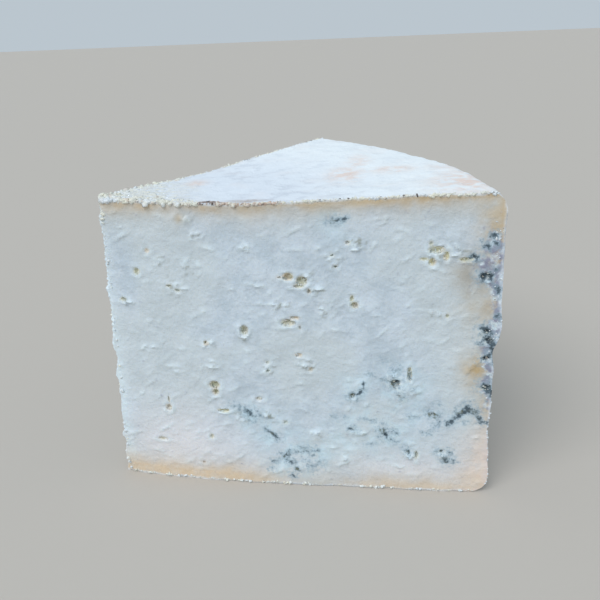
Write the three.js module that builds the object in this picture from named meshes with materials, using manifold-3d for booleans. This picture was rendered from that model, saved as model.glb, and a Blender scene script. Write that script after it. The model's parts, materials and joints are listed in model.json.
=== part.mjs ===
// A wedge of blue cheese: one sixth of a tall, natural-rind wheel, cut from the middle outwards.
// Millimetres, +Z up. The wedge stands on the wheel's flat underside, its first cut face looks along -Y,
// its tip points along -X and the wheel's side curves round at +X. The origin is at the middle of the
// underside's bounding box.
//
// The solid is the wheel (a lathe) kept only where three blocks overlap it. One block has the first cut
// face, one has the second, and one has the broken tip. Each block's face carries the torn relief of
// crumbly paste. Openings in the paste are then cut out, and crumbs on the edges are joined on.
import * as THREE from "three";
import { mergeVertices } from "three/addons/utils/BufferGeometryUtils.js";
import Module from "manifold-3d";

// Driving dimensions
const WHEEL_RADIUS = 140;
const WHEEL_HEIGHT = 111;
const WEDGE_ANGLE = THREE.MathUtils.degToRad(60.5);
const TOP_SHOULDER = 6; // rounding between the top and the side
const BOTTOM_SHOULDER = 7;
const TOP_DIP = 1.3; // the top sags this much in a ring near the middle of the wheel
const TOP_RISE = 1.7; // and stands this much proud near the shoulder
const SIDE_HOLLOW = 1; // the side draws in this much below its middle
const SIDE_SWELL = { height: 67, reach: 8, depth: 1.3 }; // a fold that runs round the side
const SIDE_CREASE = { height: 57, reach: 4.5, depth: 1.5 }; // and the crease below it
const SIDE_FLAT = 4.1; // the side is flatter than a circle halfway between the two cuts
const CUT_BULGE = 2.2; // each cut face bows outwards this much
const TIP_BOTTOM = 0.5; // the broken tip's distance from the wheel's axis, at the bottom
const TIP_TOP = 4.7; // and at the top

// Relief
const PASTE_WAVE = { height: 0.55, length: 24 };
const PASTE_GRAIN = { height: 0.36, length: 6.5 };
const RIND_WAVE = { height: 0.9, length: 26 };
const RIND_PUCKER = { height: 0.5, length: 9 };
const TOOTH = { height: 0.7, length: 2.1 }; // small torn teeth down the tip
// Lumps down the broken tip: height, reach along the tip, how far each stands out
const TIP_LUMPS = [
  [104, 2, 0.5],
  [77.6, 0.9, 0.7],
  [56.6, 3.4, 1],
  [43.4, 2.6, 1],
  [36.2, 1.2, 0.7],
  [28, 5, 0.5],
  [17.2, 1.3, 1.4],
  [8, 3, 0.4],
  [0.8, 1.2, 0.7],
];

// Mesh fineness
const WHEEL_SEGMENTS = 120;
const CUT_COLUMNS = 28;
const CUT_ROWS = 21;
const TIP_ROWS = 96;
const TIP_COLUMNS = 8;

// The wheel's axis in the part's frame, so that the origin is under the wedge's middle
const AXIS_X = -69.7;
const AXIS_Y = -59.8;

// Openings on the first cut face: distance from the tip, height, width, tallness
const FIRST_CUT_OPENINGS = [
  [69.3, 84.7, 3.4, 2.7],
  [66.4, 84.5, 1.6, 0.8],
  [74, 83.2, 3.6, 3.3],
  [72.8, 81.3, 3.2, 1.3],
  [76.4, 79.6, 1.2, 1.8],
  [118.7, 94.1, 5, 2.1],
  [116.7, 96.1, 1.3, 1.6],
  [121.8, 92, 1.6, 2.6],
  [117.3, 89.9, 2, 2.3],
  [114.6, 90.9, 2.4, 0.9],
  [91.9, 74.6, 2.3, 2.2],
  [90.9, 77, 1.1, 2],
  [68.6, 67.6, 4.6, 2.6],
  [71.1, 69.5, 3, 1],
  [72.7, 65.9, 0.8, 1.6],
  [52.8, 64.4, 2.5, 3.3],
  [40, 42.1, 3.8, 2.8],
  [40.2, 39.4, 2.2, 2.8],
  [21, 31.3, 2.1, 2.6],
  [21.4, 34.6, 0.9, 2.4],
  [105.9, 45, 3.2, 2.8],
  [105.9, 43.6, 1.6, 2.2],
  [110.9, 48.6, 1.3, 4.8],
  [90.8, 39.3, 1.7, 1.6],
  [134.8, 85, 3.2, 2.1],
  [128.3, 90.8, 4.4, 1.1],
  [130.8, 91.7, 1.9, 1.1],
  [19.9, 93.2, 1.4, 1.5],
  [15.1, 85.5, 1.9, 2.2],
  [29.7, 79, 2, 1.1],
  [26.7, 80.6, 1.5, 0.9],
  [8.4, 74.6, 2.1, 1.2],
  [38.5, 59, 1.7, 1.5],
  [60.4, 51.8, 1.2, 0.9],
  [60.4, 48.6, 1.3, 1.1],
  [71.8, 55.1, 2.4, 1.2],
  [76, 49.6, 1.2, 1.5],
  [42.6, 31.3, 4.2, 1.1],
  [37.1, 19.6, 1.3, 1.7],
  [16.9, 17, 3, 1.2],
  [32.8, 7.6, 1.3, 0.8],
  [56.3, 36.8, 2.1, 1.3],
  [65.8, 27.1, 1.4, 1.4],
  [89.7, 96.7, 1.6, 1.1],
  [84.5, 92.4, 1.4, 0.8],
  [85.6, 88.4, 1.1, 1],
  [122.9, 70.9, 1.1, 1.3],
  [113.8, 15.4, 1.1, 2.8],
  [110.8, 16.7, 1.2, 1.2],
  [124.4, 14.4, 1.3, 1.2],
  [122.7, 17.5, 1.5, 1.1],
  [102.5, 23.3, 1.3, 1.2],
  [90, 25.2, 1.4, 0.9],
  [107.4, 40.1, 1.3, 1.1],
  [136.1, 65.1, 2.2, 1.5],
  [137.2, 61.9, 2.4, 2],
  [136.4, 55.4, 2.2, 1.7],
  [137.2, 43.8, 2.6, 1.8],
  [119, 32.6, 1.6, 1],
];
const SMALLEST_ROUND_OPENING = 2.3; // narrower ones get a coarser outline
const OPENING_DEPTH = 0.7; // against the smaller of an opening's width and tallness
const SECOND_CUT_OPENINGS = 16;
const SECOND_CUT_PINHOLES = 24;
const TIP_CRUMBS = 20;
const RIM_CRUMBS = 24;

// A Park-Miller sequence, so that every build scatters the same pieces.
function sequence(seed) {
  let state = seed;
  return () => {
    state = (state * 16807) % 2147483647;
    return state / 2147483647;
  };
}

// Smooth noise from -1 to 1 over a lattice of unit cells.
function latticeValue(i, j, k) {
  const s = Math.sin(i * 127.1 + j * 311.7 + k * 74.7) * 43758.5453;
  return 2 * (s - Math.floor(s)) - 1;
}
function noise(x, y, z) {
  const [i, j, k] = [Math.floor(x), Math.floor(y), Math.floor(z)];
  const ease = (t) => t * t * (3 - 2 * t);
  const [u, v, w] = [ease(x - i), ease(y - j), ease(z - k)];
  const mix = THREE.MathUtils.lerp;
  const row = (dj, dk) => mix(latticeValue(i, j + dj, k + dk), latticeValue(i + 1, j + dj, k + dk), u);
  return mix(mix(row(0, 0), row(1, 0), v), mix(row(0, 1), row(1, 1), v), w);
}
function wave(kind, x, y, z) {
  return kind.height * noise(x / kind.length, y / kind.length, z / kind.length);
}

const wasm = await Module();
wasm.setup();

// A closed three.js geometry as a manifold-3d solid. shape(point) may move each shared vertex first.
function solidFrom(geometry, shape) {
  const bare = geometry.clone();
  bare.deleteAttribute("normal");
  bare.deleteAttribute("uv");
  const merged = mergeVertices(bare, 1e-4);
  const place = merged.getAttribute("position");
  const point = new THREE.Vector3();
  for (let n = 0; shape && n < place.count; n++) {
    shape(point.fromBufferAttribute(place, n));
    place.setXYZ(n, point.x, point.y, point.z);
  }
  const corners = [];
  const index = merged.index.array;
  for (let n = 0; n < index.length; n += 3) {
    const [a, b, c] = [index[n], index[n + 1], index[n + 2]];
    if (a !== b && b !== c && c !== a) corners.push(a, b, c);
  }
  return new wasm.Manifold(
    new wasm.Mesh({
      numProp: 3,
      vertProperties: new Float32Array(place.array),
      triVerts: new Uint32Array(corners),
    }),
  );
}

// How high the wheel's top is at a distance from its axis.
function topHeight(radius) {
  const share = radius / WHEEL_RADIUS;
  const dip = TOP_DIP * Math.exp(-(((share - 0.36) / 0.2) ** 2));
  const rise = TOP_RISE * Math.exp(-(((share - 0.95) / 0.22) ** 2));
  return WHEEL_HEIGHT - dip + rise;
}

// The side's distance from the axis, between the two shoulders.
function sideRadius(height) {
  const share = (height - BOTTOM_SHOULDER) / (WHEEL_HEIGHT - TOP_SHOULDER - BOTTOM_SHOULDER);
  const hollow = SIDE_HOLLOW * Math.sin(Math.PI * share) * (1.2 - share);
  const bump = ({ height: middle, reach, depth }) => depth * Math.exp(-(((height - middle) / reach) ** 2));
  return WHEEL_RADIUS - hollow + bump(SIDE_SWELL) - bump(SIDE_CREASE);
}

// The wheel's half section from the middle of its underside to the middle of its top.
function wheelProfile() {
  const points = [];
  const rings = 9;
  const arcSteps = 4;
  const sideSteps = 18;
  const flatBottom = WHEEL_RADIUS - BOTTOM_SHOULDER;
  const flatTop = WHEEL_RADIUS - TOP_SHOULDER;
  const topOfSide = topHeight(flatTop) - TOP_SHOULDER;
  for (let n = 0; n <= 2; n++) points.push([(flatBottom * n) / 3, 0]);
  for (let n = 0; n <= arcSteps; n++) {
    const turn = (n / arcSteps) * (Math.PI / 2);
    points.push([
      flatBottom + BOTTOM_SHOULDER * Math.sin(turn),
      BOTTOM_SHOULDER * (1 - Math.cos(turn)),
    ]);
  }
  for (let n = 1; n < sideSteps; n++) {
    const height = THREE.MathUtils.lerp(BOTTOM_SHOULDER, topOfSide, n / sideSteps);
    points.push([sideRadius(height), height]);
  }
  for (let n = 0; n <= arcSteps; n++) {
    const turn = (n / arcSteps) * (Math.PI / 2);
    points.push([
      flatTop + TOP_SHOULDER * Math.cos(turn),
      topOfSide + TOP_SHOULDER * Math.sin(turn),
    ]);
  }
  for (let n = rings - 1; n >= 0; n--) points.push([(flatTop * n) / rings, topHeight((flatTop * n) / rings)]);
  return points.map(([radius, height]) => new THREE.Vector2(radius, height));
}

// The whole wheel, its rind a little wavy and puckered. The underside stays flat.
function wheel() {
  const geometry = new THREE.LatheGeometry(wheelProfile(), WHEEL_SEGMENTS).rotateX(Math.PI / 2);
  return solidFrom(geometry, (point) => {
    const radius = Math.hypot(point.x, point.y);
    const turn = Math.atan2(point.y, point.x);
    const lift = Math.min(1, Math.max(0, point.z / BOTTOM_SHOULDER));
    const relief = wave(RIND_WAVE, point.x, point.y, point.z) + wave(RIND_PUCKER, point.x, point.y, point.z);
    const outwards = lift * Math.min(1, radius / WHEEL_RADIUS) ** 4;
    const between = Math.max(0, Math.sin((Math.PI * turn) / WEDGE_ANGLE));
    const inwards = SIDE_FLAT * between * (radius / WHEEL_RADIUS) ** 4;
    const reach = 1 + (relief * outwards - inwards) / Math.max(radius, 1);
    point.x *= reach;
    point.y *= reach;
    if (point.z > WHEEL_HEIGHT / 2) point.z += 0.7 * relief;
  });
}

// A block whose face at local y = 0 is a torn cut. side is 1 where the paste is at +y, and -1 at -y.
function cutBlock(side) {
  const [length, depth, height] = [190, 190, 140];
  const geometry = new THREE.BoxGeometry(length, depth, height, CUT_COLUMNS, 1, CUT_ROWS);
  geometry.translate(length / 2 - 30, (side * depth) / 2, height / 2 - 12);
  return solidFrom(geometry, (point) => {
    if (Math.abs(point.y) > 1) return;
    const share = THREE.MathUtils.clamp(point.x / WHEEL_RADIUS, 0, 1);
    const bow = CUT_BULGE * Math.sin(Math.PI * share ** 0.75);
    const torn =
      wave(PASTE_WAVE, point.x, 50 * side, point.z) + wave(PASTE_GRAIN, point.x, 50 * side, point.z);
    point.y = -side * (bow + torn);
  });
}

// How far the torn tip stands out at a height: lumps where the curd has held, and small teeth all the way.
function tipRelief(y, z) {
  const lumps = TIP_LUMPS.reduce((sum, [height, reach, stand]) => {
    return sum + stand * Math.exp(-(((z - height) / reach) ** 2));
  }, 0);
  return lumps + TOOTH.height * (0.5 + 0.5 * noise(9.1, y / 2, z / TOOTH.length));
}

// The block that ends at the broken tip. It is turned so that its face looks back along the wedge.
function tipBlock() {
  const [depth, width, height] = [190, 200, 124];
  const geometry = new THREE.BoxGeometry(depth, width, height, 1, TIP_COLUMNS, TIP_ROWS);
  geometry.translate(depth / 2, 0, height / 2 - 6);
  return solidFrom(geometry, (point) => {
    if (point.x > 1) return;
    point.y *= (Math.abs(point.y) / (width / 2)) ** 1.6;
    const lean = THREE.MathUtils.lerp(TIP_BOTTOM, TIP_TOP, point.z / WHEEL_HEIGHT);
    point.x = lean - tipRelief(point.y, point.z);
  }).rotate([0, 0, THREE.MathUtils.radToDeg(WEDGE_ANGLE / 2)]);
}

// An uneven blob, wide along x and tall along z, for an opening or a crumb.
function blob(wide, deep, tall, detail, key) {
  const geometry = new THREE.IcosahedronGeometry(0.5, detail);
  return solidFrom(geometry, (point) => {
    const uneven = 1 + 0.34 * noise(4 * point.x + key, 4 * point.y + 7 * key, 4 * point.z);
    point.multiplyScalar(uneven);
    point.set(point.x * wide, point.y * deep, point.z * tall);
  });
}

// Where a point on a cut face lies, and which way round its pieces are turned.
function onCut(side, along, up, outwards = 0) {
  const share = THREE.MathUtils.clamp(along / WHEEL_RADIUS, 0, 1);
  const y = -side * (CUT_BULGE * Math.sin(Math.PI * share ** 0.75) + outwards);
  const turn = side > 0 ? 0 : WEDGE_ANGLE;
  return {
    place: [along * Math.cos(turn) - y * Math.sin(turn), along * Math.sin(turn) + y * Math.cos(turn), up],
    turn: THREE.MathUtils.radToDeg(turn),
  };
}

function opening(side, [along, up, wide, tall], key) {
  const detail = Math.min(wide, tall) < SMALLEST_ROUND_OPENING ? 0 : 1;
  const deep = OPENING_DEPTH * Math.min(wide, tall) + 0.8;
  const { place, turn } = onCut(side, along, up, -0.12 * deep);
  const tilt = 50 * noise(key, 0.5, 0.5);
  return blob(wide, deep, tall, detail, key).rotate([0, tilt, 0]).rotate([0, 0, turn]).translate(place);
}

// Pinholes and short tears, spread over a cut face by rule, fewer near the rind.
function scattered(side, count, seed, smallest, largest) {
  const draw = sequence(seed);
  const made = [];
  for (let n = 0; n < count; n++) {
    const along = 8 + 120 * draw();
    const up = 8 + 95 * draw();
    const wide = THREE.MathUtils.lerp(smallest, largest, draw() ** 2);
    made.push(opening(side, [along, up, wide * (1 + 0.6 * draw()), wide * (0.6 + 0.5 * draw())], 20 + n + seed));
  }
  return made;
}

// Loose curd that clings to the two edges of the tip.
function tipCrumbs() {
  const draw = sequence(41);
  const made = [];
  for (let n = 0; n < TIP_CRUMBS; n++) {
    const up = 3 + 106 * draw();
    const side = draw() < 0.6 ? 1 : -1;
    const size = 1.1 + 1.3 * draw() ** 2;
    const edge = THREE.MathUtils.lerp(TIP_BOTTOM, TIP_TOP, up / WHEEL_HEIGHT) / Math.cos(WEDGE_ANGLE / 2);
    const { place, turn } = onCut(side, edge + 0.9, up, -0.2);
    made.push(blob(1.3 * size, size, size, 0, n).rotate([0, 0, turn]).translate(place));
  }
  return made;
}

// Crumbs of rind along the top edge of each cut face, thickest near the tip.
function rimCrumbs() {
  const draw = sequence(97);
  const made = [];
  for (let n = 0; n < RIM_CRUMBS; n++) {
    const side = n % 2 ? 1 : -1;
    const along = 8 + 118 * draw() ** 1.5;
    const size = 1 + 1.2 * draw();
    const { place, turn } = onCut(side, along, topHeight(along) - 0.3, -0.5);
    made.push(blob(1.5 * size, size, 0.8 * size, 0, 60 + n).rotate([0, 0, turn]).translate(place));
  }
  return made;
}

// The biggest body of a solid, without scraps that the cuts have left.
function largest(solid) {
  return solid.decompose().sort((a, b) => b.volume() - a.volume())[0];
}

function wedgeSolid() {
  const second = cutBlock(-1).rotate([0, 0, THREE.MathUtils.radToDeg(WEDGE_ANGLE)]);
  const cut = wheel().intersect(cutBlock(1)).intersect(second).intersect(tipBlock());
  const openings = [
    ...FIRST_CUT_OPENINGS.map((place, n) => opening(1, place, n)),
    ...scattered(-1, SECOND_CUT_OPENINGS, 23, 1.8, 4.6),
    ...scattered(-1, SECOND_CUT_PINHOLES, 35, 0.9, 1.9),
  ];
  const crumbs = wasm.Manifold.union([...tipCrumbs(), ...rimCrumbs()]);
  return largest(cut.add(crumbs).subtract(wasm.Manifold.union(openings)));
}

function geometryFrom(solid) {
  const { vertProperties, triVerts } = solid.getMesh();
  const geometry = new THREE.BufferGeometry()
    .setAttribute("position", new THREE.BufferAttribute(vertProperties, 3))
    .setIndex(new THREE.BufferAttribute(triVerts, 1));
  geometry.computeVertexNormals();
  return geometry;
}

const pasteAndRind = new THREE.MeshStandardMaterial({
  color: new THREE.Color(0.78, 0.82, 0.83),
  roughness: 0.6,
  metalness: 0,
  flatShading: true,
});

const wedge = new THREE.Mesh(geometryFrom(wedgeSolid()), pasteAndRind);
wedge.name = "cheese_wedge";
wedge.position.set(AXIS_X, AXIS_Y, 0);

const blueCheese = new THREE.Group();
blueCheese.add(wedge);

export default blueCheese;
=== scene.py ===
"""A wedge of blue cheese, one sixth of a tall natural-rind wheel, dressed around its CAD frame.

The wedge is cut from a whole wheel. A wheel with a puckered rind is kept only where three blocks overlap
it: one block has the first torn cut, one has the second, and one has the broken tip. Openings are then cut
into the paste. Every vertex of the result gets masks, such as how deep it lies in an opening or how near
the rind it is, and the materials are coloured by them. Crumbs of curd and rind lie on the edges.

Shapes are worked out in millimetres from the tip: +X runs along the first cut, +Y into the wedge and +Z up.
The finished meshes are then brought to metres in the frame.
"""
import json
import math

import bmesh
import bpy
import numpy as np
from mathutils import Matrix, Vector
from mathutils.bvhtree import BVHTree

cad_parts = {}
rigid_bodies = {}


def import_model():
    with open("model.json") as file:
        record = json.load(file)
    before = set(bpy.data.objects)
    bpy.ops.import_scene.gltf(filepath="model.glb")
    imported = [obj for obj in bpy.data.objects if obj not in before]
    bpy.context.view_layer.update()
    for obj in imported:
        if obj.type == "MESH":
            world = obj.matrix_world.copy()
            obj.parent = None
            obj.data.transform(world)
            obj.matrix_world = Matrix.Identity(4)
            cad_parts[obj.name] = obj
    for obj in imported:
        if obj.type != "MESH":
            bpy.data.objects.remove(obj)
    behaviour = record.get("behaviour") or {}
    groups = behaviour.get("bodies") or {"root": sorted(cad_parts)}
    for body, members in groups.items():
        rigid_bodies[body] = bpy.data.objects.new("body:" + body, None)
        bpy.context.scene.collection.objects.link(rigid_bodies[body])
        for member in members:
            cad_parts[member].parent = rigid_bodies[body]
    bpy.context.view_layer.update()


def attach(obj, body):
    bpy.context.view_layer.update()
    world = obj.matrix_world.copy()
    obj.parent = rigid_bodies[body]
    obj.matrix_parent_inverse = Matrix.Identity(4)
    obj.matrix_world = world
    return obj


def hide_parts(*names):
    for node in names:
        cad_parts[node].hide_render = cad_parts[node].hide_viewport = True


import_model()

# ---------------------------------------------------------------- driving dimensions, in millimetres
MM = 0.001
WHEEL_RADIUS = 140
WHEEL_HEIGHT = 111
WEDGE_ANGLE = math.radians(60.5)
TOP_SHOULDER = 6
BOTTOM_SHOULDER = 7
TOP_DIP = 1.3  # the top sags this much in a ring near the middle of the wheel
TOP_RISE = 1.7  # and stands this much proud near the shoulder
SIDE_HOLLOW = 1.0
SIDE_FLAT = 4.1
SIDE_SWELL = (67, 8, 1.3)  # height, reach and depth of the fold that runs round the side
SIDE_CREASE = (57, 4.5, 1.5)  # and of the crease below it
CUT_BULGE = 2.2
TIP_BOTTOM = 0.5
TIP_TOP = 4.7
AXIS = Vector((-69.7, -59.8, 0))  # the wheel's axis in the frame

# Relief, as (height, length)
PASTE_WAVE = (0.55, 24)
PASTE_GRAIN = (0.36, 6.5)
PASTE_CURD = (0.11, 2.6)
RIND_WAVE = (0.9, 26)
RIND_PUCKER = (0.5, 9)
RIND_WRINKLE = (0.22, 3.4)
RIND_GRAIN = (0.12, 1.6)
TOOTH = (0.75, 1.95)
LIP_HEIGHT = 0.45
MOUTH_DEPTH = 0.5
OPENING_DEPTH = 0.7  # against the smaller of an opening's width and tallness
LEAST_DEPTH = 0.8  # that every opening has besides

# Mesh fineness
FIRST_CUT_CELL = 0.66
SECOND_CUT_CELL = 1.0
TIP_CELL = 0.36
RIND_CELL = 1.15
FINE_TURN = math.radians(0.5)
COARSE_STEPS = 28
SAME_PLACE = 0.003  # vertices closer than this are one
CUT_SEAM = 0.004  # and so are those closer than this after the cuts
SLIVER = 0.002  # edges shorter than this after the cuts are closed up
SHARP_ANGLE = math.radians(48)

# Openings on the first cut: distance from the tip, height, width, tallness
FIRST_CUT_OPENINGS = [
    (69.3, 84.7, 3.4, 2.7), (66.4, 84.5, 1.6, 0.8), (74.0, 83.2, 3.6, 3.3), (72.8, 81.3, 3.2, 1.3),
    (76.4, 79.6, 1.2, 1.8), (118.7, 94.1, 5.0, 2.1), (116.7, 96.1, 1.3, 1.6), (121.8, 92.0, 1.6, 2.6),
    (117.3, 89.9, 2.0, 2.3), (114.6, 90.9, 2.4, 0.9), (91.9, 74.6, 2.3, 2.2), (90.9, 77.0, 1.1, 2.0),
    (68.6, 67.6, 4.6, 2.6), (71.1, 69.5, 3.0, 1.0), (72.7, 65.9, 0.8, 1.6), (52.8, 64.4, 2.5, 3.3),
    (40.0, 42.1, 3.8, 2.8), (40.2, 39.4, 2.2, 2.8), (21.0, 31.3, 2.1, 2.6), (21.4, 34.6, 0.9, 2.4),
    (105.9, 45.0, 3.2, 2.8), (105.9, 43.6, 1.6, 2.2), (110.9, 48.6, 1.3, 4.8), (90.8, 39.3, 1.7, 1.6),
    (134.8, 85.0, 3.2, 2.1), (128.3, 90.8, 4.4, 1.1), (130.8, 91.7, 1.9, 1.1), (19.9, 93.2, 1.4, 1.5),
    (15.1, 85.5, 1.9, 2.2), (29.7, 79.0, 2.0, 1.1), (26.7, 80.6, 1.5, 0.9), (8.4, 74.6, 2.1, 1.2),
    (38.5, 59.0, 1.7, 1.5), (60.4, 51.8, 1.2, 0.9), (60.4, 48.6, 1.3, 1.1), (71.8, 55.1, 2.4, 1.2),
    (76.0, 49.6, 1.2, 1.5), (42.6, 31.3, 4.2, 1.1), (37.1, 19.6, 1.3, 1.7), (16.9, 17.0, 3.0, 1.2),
    (32.8, 7.6, 1.3, 0.8), (56.3, 36.8, 2.1, 1.3), (65.8, 27.1, 1.4, 1.4), (89.7, 96.7, 1.6, 1.1),
    (84.5, 92.4, 1.4, 0.8), (85.6, 88.4, 1.1, 1.0), (122.9, 70.9, 1.1, 1.3), (113.8, 15.4, 1.1, 2.8),
    (110.8, 16.7, 1.2, 1.2), (124.4, 14.4, 1.3, 1.2), (122.7, 17.5, 1.5, 1.1), (102.5, 23.3, 1.3, 1.2),
    (90.0, 25.2, 1.4, 0.9), (107.4, 40.1, 1.3, 1.1), (136.1, 65.1, 2.2, 1.5), (137.2, 61.9, 2.4, 2.0),
    (136.4, 55.4, 2.2, 1.7), (137.2, 43.8, 2.6, 1.8), (119.0, 32.6, 1.6, 1.0),
]
POCKETED_OPENING = 2.8  # openings wider or taller than this have side pockets
POCKETS, POCKET_SEED = 3, 71
ROUND_OPENING = 1.8  # and those past this have a finer mesh
# Openings on the second cut: how many, seed, narrowest, widest
SECOND_CUT_OPENINGS = (16, 23, 1.8, 4.6)
SECOND_CUT_PINHOLES = (24, 35, 0.9, 1.9)
# Curds that stand out beside openings on the first cut: distance, height, width, tallness, how far
FIRST_CUT_CURDS = [
    (108.9, 41.6, 2.4, 3.6, 1.0), (119.3, 91.5, 1.6, 1.3, 0.6), (75.8, 81.4, 1.1, 1.1, 0.6),
    (66.0, 65.4, 2.6, 1.2, 0.4),
]
TORN_FLAKES = 300  # on each cut
FLAKES_IN_RUFFLE = 7
TEAR_SEEDS = {1: 301, -1: 457}
# Ruffled places on the first cut, where the curd has torn and dark nicks of painted shade are laid:
# distance, height, reach
FIRST_CUT_RUFFLES = [
    (66.6, 74.4, 3.2), (80.2, 79.6, 3.6), (82.6, 72.2, 3.4), (40.4, 50.0, 2.6), (75.0, 51.2, 3.2),
    (77.0, 22.6, 2.4), (85.2, 90.4, 3.0), (93.2, 96.4, 3.6), (29.0, 80.4, 3.6), (35.2, 87.8, 3.4),
    (54.6, 94.2, 1.8), (93.4, 24.0, 2.2), (118.4, 91.8, 3.4), (126.0, 93.2, 3.6), (118.8, 71.0, 2.2),
    (111.4, 15.2, 2.6), (61.0, 49.4, 2.6), (39.4, 58.6, 2.2), (111.8, 42.6, 3.0), (10.0, 74.2, 2.4),
    (34.8, 104.0, 2.2), (38.6, 99.4, 2.4), (74.6, 84.0, 3.6), (124.2, 15.0, 2.6), (60.0, 30.0, 4.0),
    (104.4, 47.6, 3.0), (52.8, 62.4, 2.2), (24.0, 89.0, 3.0), (88.2, 12.6, 2.2), (49.0, 28.6, 3.0),
]

# Blue mould on the first cut: from (distance, height) to (distance, height), breadth, strength
FIRST_CUT_VEINS = [
    (84.8, 104.0, 86.4, 104.2, 0.9, 0.65), (86.6, 104.4, 88.9, 104.9, 0.8, 0.85),
    (83.6, 103.4, 84.6, 103.6, 1.2, 0.3), (50.9, 31.6, 52.6, 30.4, 1.1, 0.9),
    (46.6, 33.8, 48.6, 32.6, 1.1, 0.5), (53.6, 29.6, 56.0, 29.8, 1.2, 0.6),
    (52.0, 27.6, 53.0, 27.0, 1.0, 0.5), (49.2, 33.6, 50.4, 33.0, 0.8, 0.45),
    (54.2, 32.6, 55.2, 32.0, 0.9, 0.35), (58.0, 23.7, 60.0, 22.2, 0.7, 0.75),
    (60.2, 22.0, 63.2, 20.0, 0.8, 0.95), (64.3, 12.0, 67.4, 14.8, 0.8, 0.85),
    (65.6, 10.6, 68.6, 10.2, 1.0, 0.75), (60.3, 9.8, 63.2, 10.4, 0.9, 0.6),
    (69.2, 7.3, 70.2, 6.4, 0.8, 0.95), (67.2, 4.6, 68.1, 4.1, 0.7, 0.9),
    (58.2, 6.3, 60.4, 6.6, 0.8, 0.45), (69.0, 14.3, 72.0, 15.0, 1.0, 0.6),
    (74.0, 15.6, 77.0, 15.3, 1.0, 0.55), (75.2, 8.3, 77.6, 9.8, 1.5, 0.6),
    (71.4, 16.9, 75.8, 13.4, 0.8, 0.5), (63.0, 13.6, 64.0, 13.0, 0.9, 0.5),
    (72.6, 11.0, 74.0, 10.6, 1.2, 0.45), (90.5, 39.3, 91.2, 39.3, 0.9, 1.0),
    (91.5, 39.4, 93.2, 40.5, 0.45, 1.0), (93.2, 40.5, 94.3, 41.8, 0.55, 1.0),
    (94.3, 41.8, 94.8, 45.3, 0.35, 0.85), (96.4, 48.4, 97.8, 47.6, 0.8, 0.6),
    (98.4, 47.4, 103.4, 45.8, 0.6, 0.4), (105.4, 50.3, 106.8, 50.2, 1.1, 0.6),
    (107.0, 40.3, 108.2, 39.8, 1.1, 0.65), (105.3, 44.9, 106.5, 44.9, 1.2, 0.95),
    (110.8, 47.2, 111.0, 48.4, 0.6, 0.7), (102.0, 54.3, 102.7, 53.9, 1.0, 0.45),
    (82.8, 30.7, 88.0, 30.2, 0.7, 0.4), (93.4, 30.2, 101.6, 28.2, 0.7, 0.45),
    (89.3, 25.5, 91.0, 25.0, 0.7, 0.8), (101.4, 24.5, 103.0, 23.0, 1.1, 0.95),
    (103.9, 25.3, 106.2, 24.3, 0.9, 0.6), (104.0, 21.6, 106.2, 20.4, 0.9, 0.55),
    (100.4, 22.6, 101.4, 21.8, 0.9, 0.5), (95.0, 18.8, 99.6, 19.3, 0.7, 0.4),
    (110.2, 17.7, 111.4, 16.0, 0.8, 0.85), (118.0, 32.8, 120.4, 32.3, 1.1, 0.8),
    (119.5, 37.1, 120.7, 36.9, 0.9, 0.45), (111.0, 31.8, 113.6, 31.2, 0.8, 0.45),
    (119.9, 27.5, 121.7, 29.5, 0.9, 0.75), (116.5, 25.2, 118.3, 25.5, 0.9, 0.5),
    (124.7, 29.3, 126.6, 30.5, 0.9, 0.95), (126.8, 31.0, 128.3, 32.1, 1.0, 0.75),
    (128.5, 32.6, 130.3, 34.3, 1.2, 1.0), (130.2, 34.5, 131.7, 36.3, 1.1, 1.0),
    (131.7, 35.8, 134.2, 33.7, 1.2, 0.85), (134.4, 33.0, 136.0, 30.8, 0.9, 0.8),
    (136.2, 30.5, 138.2, 29.8, 0.9, 0.85), (129.8, 30.4, 130.6, 30.2, 0.8, 0.55),
    (123.8, 15.3, 124.9, 13.5, 1.0, 0.85), (125.1, 17.7, 126.1, 16.5, 0.9, 0.7),
    (127.0, 14.1, 127.7, 13.1, 0.8, 0.75), (121.4, 17.7, 122.8, 17.1, 1.0, 0.5),
    (135.9, 99.3, 136.6, 98.7, 0.8, 1.0), (133.8, 95.8, 135.0, 95.4, 0.9, 1.0),
    (136.8, 96.6, 137.3, 96.0, 0.7, 0.9), (129.8, 91.9, 131.6, 91.4, 0.9, 0.85),
    (133.8, 85.0, 136.0, 85.0, 1.2, 1.0), (137.3, 87.4, 137.7, 87.0, 0.7, 0.85),
    (138.4, 81.2, 139.3, 79.2, 0.8, 0.9), (139.3, 71.2, 140.0, 70.4, 0.9, 0.85),
    (135.0, 66.8, 137.0, 64.6, 1.1, 1.0), (136.2, 62.8, 138.3, 61.0, 1.4, 1.0),
    (132.6, 60.9, 135.0, 60.6, 0.7, 0.65), (138.2, 58.9, 139.4, 55.4, 1.1, 1.0),
    (135.2, 55.0, 137.3, 56.2, 1.1, 1.0), (136.3, 44.8, 138.3, 42.9, 1.4, 1.0),
    (138.8, 41.9, 140.0, 40.8, 1.1, 0.95),
]
# Soft pale blue haze round the mould on the first cut: distance, height, reach, strength
FIRST_CUT_HAZE = [
    (52, 29, 7, 0.8), (62, 21, 8, 0.8), (68, 11, 9, 1.0), (77, 14, 8, 0.7), (94, 42, 8, 0.6),
    (107, 42, 9, 1.0), (103, 23, 9, 0.8), (94, 30, 9, 0.6), (112, 32, 9, 0.5), (128, 32, 6, 0.5),
    (86, 104, 6, 0.6), (124, 15, 5, 0.4), (86, 22, 9, 0.5), (137, 62, 5, 0.4),
]
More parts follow.
